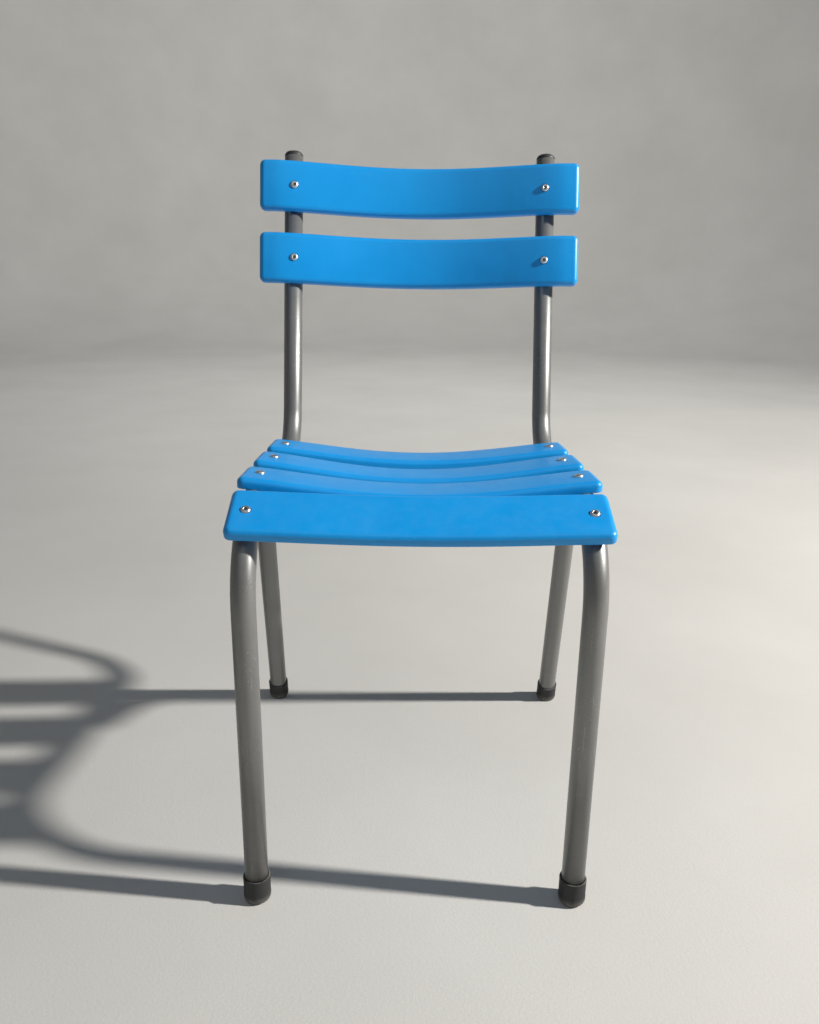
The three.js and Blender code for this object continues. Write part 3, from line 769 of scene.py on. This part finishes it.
SCREW_SHANK_RADIUS = 0.003
SCREW_HEAD_RADIUS = 0.00525
SCREW_HEAD_HEIGHT = 0.003
SCREW_END = 0.002
SOCKET_RADIUS = 0.004 / math.sqrt(3)
SOCKET_DEPTH = 0.002
SOCKET_SIDES = 6
HEAD_FLAT_RADIUS = 0.0026
HEAD_RIM_HEIGHT = 0.0005
SEAT_PLAY = 0.0002
SCREW_CHAMFER = 0.0006
TURNING_PITCH = 0.00018
ARC_STEPS = 10

stainless, tree, shader = finish_named("turned_stainless_steel", (0.62, 0.62, 0.61))
seen = marks(tree, Grain_Scale=4000.0, Scratch_Level=0.62, Edge_Radius=0.0003, Dust_Level=0.3)
radial = say(tree, "Attribute", _attribute_name="from_axis").outputs["Fac"]
# The inside of each hexagon socket is painted near black in the steel's base colour: painted shade in the
# recess. The same mask also makes the socket rougher.
socket_shade = say(tree, "Attribute", _attribute_name="in_socket").outputs["Fac"]
colour = blend_colour(tree, seen["Mottle"], (0.74, 0.75, 0.75), (0.86, 0.865, 0.86))
colour = blend_colour(tree, math_of(tree, "MULTIPLY", socket_shade, 0.70), colour, (0.10, 0.095, 0.085))
tree.links.new(colour, shader.inputs["Base Color"])
shader.inputs["Metallic"].default_value = 1.0
gloss = math_of(tree, "MULTIPLY_ADD", seen["Grain"], 0.14, 0.27)
gloss = math_of(tree, "MULTIPLY_ADD", seen["Scratch"], 0.25, gloss)
gloss = math_of(tree, "MULTIPLY_ADD", socket_shade, 0.30, gloss)
tree.links.new(gloss, shader.inputs["Roughness"])
rings = math_of(tree, "SINE", math_of(tree, "MULTIPLY", radial, 2 * math.pi / TURNING_PITCH), 0.0)
lathe = say(tree, "Bump", Height=rings, Strength=0.35, Distance=0.000008)
tree.links.new(lathe.outputs["Normal"], shader.inputs["Normal"])

zinc, tree, shader = finish_named("zinc_plate", (0.48, 0.48, 0.46))
seen = marks(tree, Grain_Scale=3000.0, Scratch_Level=0.64, Edge_Radius=0.0004, Dust_Level=0.2)
colour = blend_colour(tree, seen["Mottle"], (0.44, 0.44, 0.42), (0.56, 0.56, 0.53))
tree.links.new(colour, shader.inputs["Base Color"])
shader.inputs["Metallic"].default_value = 1.0
tree.links.new(math_of(tree, "MULTIPLY_ADD", seen["Grain"], 0.25, 0.28), shader.inputs["Roughness"])

under_head = SCREW_SEAT + SEAT_PLAY
head_top = under_head + SCREW_HEAD_HEIGHT
profile = [
    (0, SCREW_END), (SCREW_SHANK_RADIUS - SCREW_CHAMFER, SCREW_END),
    (SCREW_SHANK_RADIUS, SCREW_END + SCREW_CHAMFER), (SCREW_SHANK_RADIUS, under_head),
    (SCREW_HEAD_RADIUS - 0.0001, under_head), (SCREW_HEAD_RADIUS, under_head + 0.0001),
]
for i in range(ARC_STEPS + 1):
    angle = math.pi / 2 * i / ARC_STEPS
    profile.append((
        HEAD_FLAT_RADIUS + (SCREW_HEAD_RADIUS - HEAD_FLAT_RADIUS) * math.cos(angle),
        under_head + HEAD_RIM_HEIGHT + (SCREW_HEAD_HEIGHT - HEAD_RIM_HEIGHT) * math.sin(angle)))
profile.append((0, head_top))
bm = bmesh.new()
turned_solid(bm, profile)
screw = made("screw_pattern", bm, stainless)
bm = bmesh.new()
bmesh.ops.create_cone(
    bm, cap_ends=True, segments=SOCKET_SIDES, radius1=SOCKET_RADIUS, radius2=SOCKET_RADIUS,
    depth=SOCKET_DEPTH - 0.0002,
    matrix=Matrix.Translation((0, 0, head_top - 0.0002 - (SOCKET_DEPTH - 0.0002) / 2)))
lid = max(bm.faces, key=lambda f: f.calc_center_median().z)
bmesh.ops.inset_region(bm, faces=[lid], thickness=0.0, depth=0.0)
mouth = lid.verts[:]
bmesh.ops.translate(bm, verts=mouth, vec=(0, 0, 0.0004))
bmesh.ops.scale(bm, verts=mouth, vec=(1.24, 1.24, 1))
base = min(bm.faces, key=lambda f: f.calc_center_median().z)
bmesh.ops.poke(bm, faces=[base], offset=0.0005)
bmesh.ops.remove_doubles(bm, verts=bm.verts, dist=1e-7)
bmesh.ops.recalc_face_normals(bm, faces=bm.faces)
cut_or_join(screw, [("DIFFERENCE", cutter("socket", bm))])
from_axis = screw.data.attributes.new("from_axis", "FLOAT", "POINT")
# in_socket marks the inside of the socket, where the steel material paints shade as a dark colour.
in_socket = screw.data.attributes.new("in_socket", "FLOAT", "POINT")
for v in screw.data.vertices:
    from_axis.data[v.index].value = math.hypot(v.co.x, v.co.y)
    within = math.hypot(v.co.x, v.co.y) < 0.0025
    deep = SCREW_SEAT - 0.0002 < v.co.z < head_top - 0.0004
    in_socket.data[v.index].value = 1.0 if within and deep else 0.0
pattern = screw.data
bpy.data.objects.remove(screw)

# each screw was driven home to another angle
for name, place in screw_places.items():
    mesh = pattern.copy()
    spin_round = Matrix.Rotation(0.7 * len(bpy.data.objects), 4, "Z")
    mesh.transform(place @ spin_round)
    screw = bpy.data.objects.new(f"button_head_{name}", mesh)
    bpy.context.scene.collection.objects.link(screw)
    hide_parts(f"screw_{name}")
    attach(screw, "root")
    insert = frame["nodes"][f"insert_{name}"]
    if insert.material_slots:
        insert.material_slots[0].material = zinc
    else:
        insert.data.materials.append(zinc)
bpy.data.meshes.remove(pattern)


# ---------------------------------------------------------------- ferrules
# A black rubber ferrule is pushed on each leg's end: a moulded cup with a lip round its mouth
# and a rounded sole, worn flat and dusty where it stands, with a ring groove underneath.

FOOT_RADIUS = 0.0150
FOOT_HEIGHT = 0.031
FOOT_EDGE_RADIUS = 0.0065
FOOT_FLOOR = 0.008
FRONT_FOOT_SHIFT = -0.0003
REAR_FOOT_SHIFT = 0.001
LIP_HEIGHT = 0.0016

black_rubber, tree, shader = finish_named("black_rubber", (0.03, 0.032, 0.033))
place = own_place(tree)
seen = marks(tree, Grain_Scale=1300.0, Scratch_Level=0.63, Edge_Radius=0.0012, Dust_Level=0.8)
colour = blend_colour(tree, seen["Mottle"], (0.020, 0.021, 0.022), (0.033, 0.034, 0.035))
colour = blend_colour(tree, math_of(tree, "MULTIPLY", seen["Edge"], 0.45), colour, (0.11, 0.11, 0.105))
colour = blend_colour(tree, math_of(tree, "MULTIPLY", seen["Scratch"], 0.40), colour, (0.12, 0.12, 0.115))
above_floor = say(tree, "SeparateXYZ", Vector=place).outputs["Z"]
low = say(tree, "MapRange", Value=above_floor, i1=0.011, i2=0.0, i3=0.0, i4=1.0)
spatter = say(tree, "TexNoise", Vector=place, Scale=210.0, Detail=6.0, Roughness=0.75)
grime = math_of(tree, "MULTIPLY", low.outputs["Result"], spatter.outputs["Fac"])
colour = blend_colour(tree, math_of(tree, "MAXIMUM", grime, seen["Dust"]), colour, (0.30, 0.285, 0.255))
tree.links.new(colour, shader.inputs["Base Color"])
tree.links.new(math_of(tree, "MULTIPLY_ADD", seen["Mottle"], 0.12, 0.62), shader.inputs["Roughness"])
shader.inputs["Specular IOR Level"].default_value = 0.4
pebble = say(tree, "Bump", Height=seen["Grain"], Strength=0.6, Distance=0.00007)
tree.links.new(pebble.outputs["Normal"], shader.inputs["Normal"])


def ferrule(name, way, point, shift):
    """One ferrule along its leg, cut flat at the floor, with the ring groove in its sole."""
    bore = TUBE_RADIUS + 0.0003
    body = FOOT_RADIUS - 0.0002
    profile = [(0, 0)]
    for i in range(ARC_STEPS + 1):
        angle = math.pi / 2 * i / ARC_STEPS
        profile.append((
            FOOT_RADIUS - FOOT_EDGE_RADIUS + FOOT_EDGE_RADIUS * math.sin(angle),
            FOOT_EDGE_RADIUS * (1 - math.cos(angle))))
    lip = FOOT_HEIGHT - LIP_HEIGHT
    profile += [
        (FOOT_RADIUS, FOOT_EDGE_RADIUS + 0.0030), (body, FOOT_EDGE_RADIUS + 0.0046),
        (body, lip - 0.0007), (body + 0.00015, lip - 0.00025), (FOOT_RADIUS - 0.0001, lip + 0.0001),
        (FOOT_RADIUS, lip + 0.0005), (FOOT_RADIUS, FOOT_HEIGHT - 0.0010),
        (FOOT_RADIUS - 0.0003, FOOT_HEIGHT - 0.0003), (FOOT_RADIUS - 0.0010, FOOT_HEIGHT),
        (bore + 0.0005, FOOT_HEIGHT), (bore, FOOT_HEIGHT - 0.0005), (bore, FOOT_FLOOR), (0, FOOT_FLOOR),
    ]
    bm = bmesh.new()
    turned_solid(bm, profile, 64)
    bmesh.ops.translate(bm, verts=bm.verts, vec=(0, 0, shift))
    turn = Vector((0, 0, 1)).rotation_difference(way).to_matrix()
    bmesh.ops.rotate(bm, verts=bm.verts, cent=(0, 0, 0), matrix=turn)
    bmesh.ops.translate(bm, verts=bm.verts, vec=point)
    bmesh.ops.bisect_plane(
        bm, geom=bm.verts[:] + bm.edges[:] + bm.faces[:], plane_co=(0, 0, 0), plane_no=(0, 0, -1),
        clear_outer=True)
    bmesh.ops.holes_fill(bm, edges=bm.edges, sides=0)
    bmesh.ops.recalc_face_normals(bm, faces=bm.faces)
    sole = max((f for f in bm.faces if f.normal.z < -0.999), key=lambda f: f.calc_area())
    for thickness, depth in ((0.0020, 0), (0.0003, -0.0008), (0.0010, 0), (0.0003, 0.0008)):
        bmesh.ops.inset_region(bm, faces=[sole], thickness=thickness, depth=depth)
    foot = made(f"ferrule_{name}", bm, black_rubber, math.radians(40))
    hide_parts(f"foot_{name}")
    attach(foot, "root")


for label, side in SIDES:
    ferrule(f"front_{label}", leg_way, Vector((side * HALF_SPACING, FRONT_FOOT_Y, 0)), FRONT_FOOT_SHIFT)
    ferrule(f"rear_{label}", rear_leg_way(side), rear_foot_point(side), REAR_FOOT_SHIFT)


# ---------------------------------------------------------------- top plugs
# A domed black plastic plug closes each upright. Its stem is pressed into the tube's bore, and
# its crown shows the flat spot and faint ring that moulding leaves.

PLUG_HEIGHT = 0.0062
PLUG_STEM = 0.016
CROWN_EDGE = 0.005

plug_plastic, tree, shader = finish_named("black_moulded_plastic", (0.035, 0.037, 0.038))
seen = marks(tree, Grain_Scale=1700.0, Scratch_Level=0.64, Edge_Radius=0.0008, Dust_Level=0.5)
colour = blend_colour(tree, seen["Mottle"], (0.024, 0.025, 0.027), (0.036, 0.037, 0.039))
colour = blend_colour(tree, math_of(tree, "MULTIPLY", seen["Edge"], 0.4), colour, (0.10, 0.10, 0.10))
colour = blend_colour(tree, math_of(tree, "MULTIPLY", seen["Scratch"], 0.5), colour, (0.13, 0.13, 0.13))
colour = blend_colour(tree, math_of(tree, "MULTIPLY", seen["Dust"], 0.18), colour, (0.30, 0.29, 0.27))
tree.links.new(colour, shader.inputs["Base Color"])
gloss = math_of(tree, "MULTIPLY_ADD", seen["Mottle"], 0.10, 0.48)
tree.links.new(math_of(tree, "MULTIPLY_ADD", seen["Scratch"], 0.2, gloss), shader.inputs["Roughness"])
texture = say(tree, "Bump", Height=seen["Grain"], Strength=0.5, Distance=0.00004)
tree.links.new(texture.outputs["Normal"], shader.inputs["Normal"])

for label, side in SIDES:
    stem = TUBE_RADIUS - TUBE_WALL - 0.0004
    profile = [
        (0, -PLUG_STEM), (stem - 0.001, -PLUG_STEM), (stem, 0.001 - PLUG_STEM), (stem, 0.0002),
        (TUBE_RADIUS - 0.0003, 0.0002), (TUBE_RADIUS, 0.0005),
    ]
    for i in range(ARC_STEPS + 1):
        angle = math.pi / 2 * i / ARC_STEPS
        profile.append((
            TUBE_RADIUS - CROWN_EDGE + CROWN_EDGE * math.cos(angle),
            PLUG_HEIGHT - CROWN_EDGE + CROWN_EDGE * math.sin(angle)))
    profile += [
        (0.0046, PLUG_HEIGHT), (0.0044, PLUG_HEIGHT - 0.0002), (0.0040, PLUG_HEIGHT - 0.0002),
        (0.0038, PLUG_HEIGHT), (0, PLUG_HEIGHT),
    ]
    bm = bmesh.new()
    turned_solid(bm, profile, 64)
    bmesh.ops.rotate(bm, verts=bm.verts, cent=(0, 0, 0), matrix=Matrix.Rotation(-BACK_LEAN, 3, "X"))
    bmesh.ops.translate(bm, verts=bm.verts, vec=(side * HALF_SPACING, upright_end.y, upright_end.z))
    plug = made(f"plug_{label}", bm, plug_plastic, math.radians(40))
    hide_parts(f"top_plug_{label}")
    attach(plug, "root")
